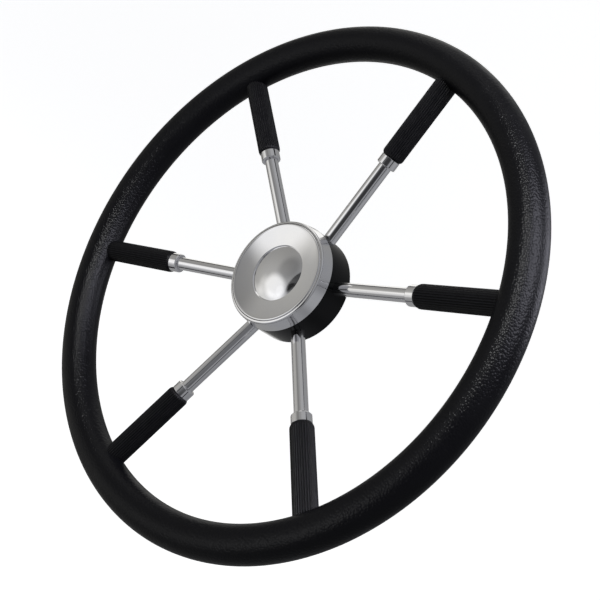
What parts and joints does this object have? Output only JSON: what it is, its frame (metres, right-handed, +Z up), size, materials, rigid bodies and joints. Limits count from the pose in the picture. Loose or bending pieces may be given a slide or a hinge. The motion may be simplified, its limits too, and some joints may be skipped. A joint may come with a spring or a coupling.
{
  "type": "boat steering wheel",
  "caption": "Boat steering wheel with raked polished stainless spokes, black fluted spoke sleeves, a thick padded rim and a dished hub cap over a tapered shaft bore.",
  "frame": {"origin": "centre of the shaft bore's mouth, in the back face of the hub boss", "axes": "+Y along the shaft axis, out of the bore towards the helm; the driver's side faces -Y; +Z up along the first spoke and the keyway"},
  "size_m": [0.3999, 0.0549, 0.4],
  "materials": {
    "rim_skin": "satin",
    "sleeve_rubber": "satin",
    "polished_steel": "polished",
    "plain_steel": "satin",
    "screw_steel": "satin",
    "drum_plastic": "gloss",
    "seal_rubber": "matte"
  },
  "bodies": {
    "root": {"cap_oring": "seal_rubber", "ferrule_1": "polished_steel", "ferrule_2": "polished_steel", "ferrule_3": "polished_steel", "ferrule_4": "polished_steel", "ferrule_5": "polished_steel", "ferrule_6": "polished_steel", "hub_body": "drum_plastic", "hub_cap": "polished_steel", "hub_core": "plain_steel", "hub_ring": "polished_steel", "rim_core": "plain_steel", "rim_grip": "rim_skin", "ring_screws": "screw_steel", "spoke_1": "polished_steel", "spoke_2": "polished_steel", "spoke_3": "polished_steel", "spoke_4": "polished_steel", "spoke_5": "polished_steel", "spoke_6": "polished_steel", "spoke_grip_1": "sleeve_rubber", "spoke_grip_2": "sleeve_rubber", "spoke_grip_3": "sleeve_rubber", "spoke_grip_4": "sleeve_rubber", "spoke_grip_5": "sleeve_rubber", "spoke_grip_6": "sleeve_rubber"}
  },
  "joints": []
}
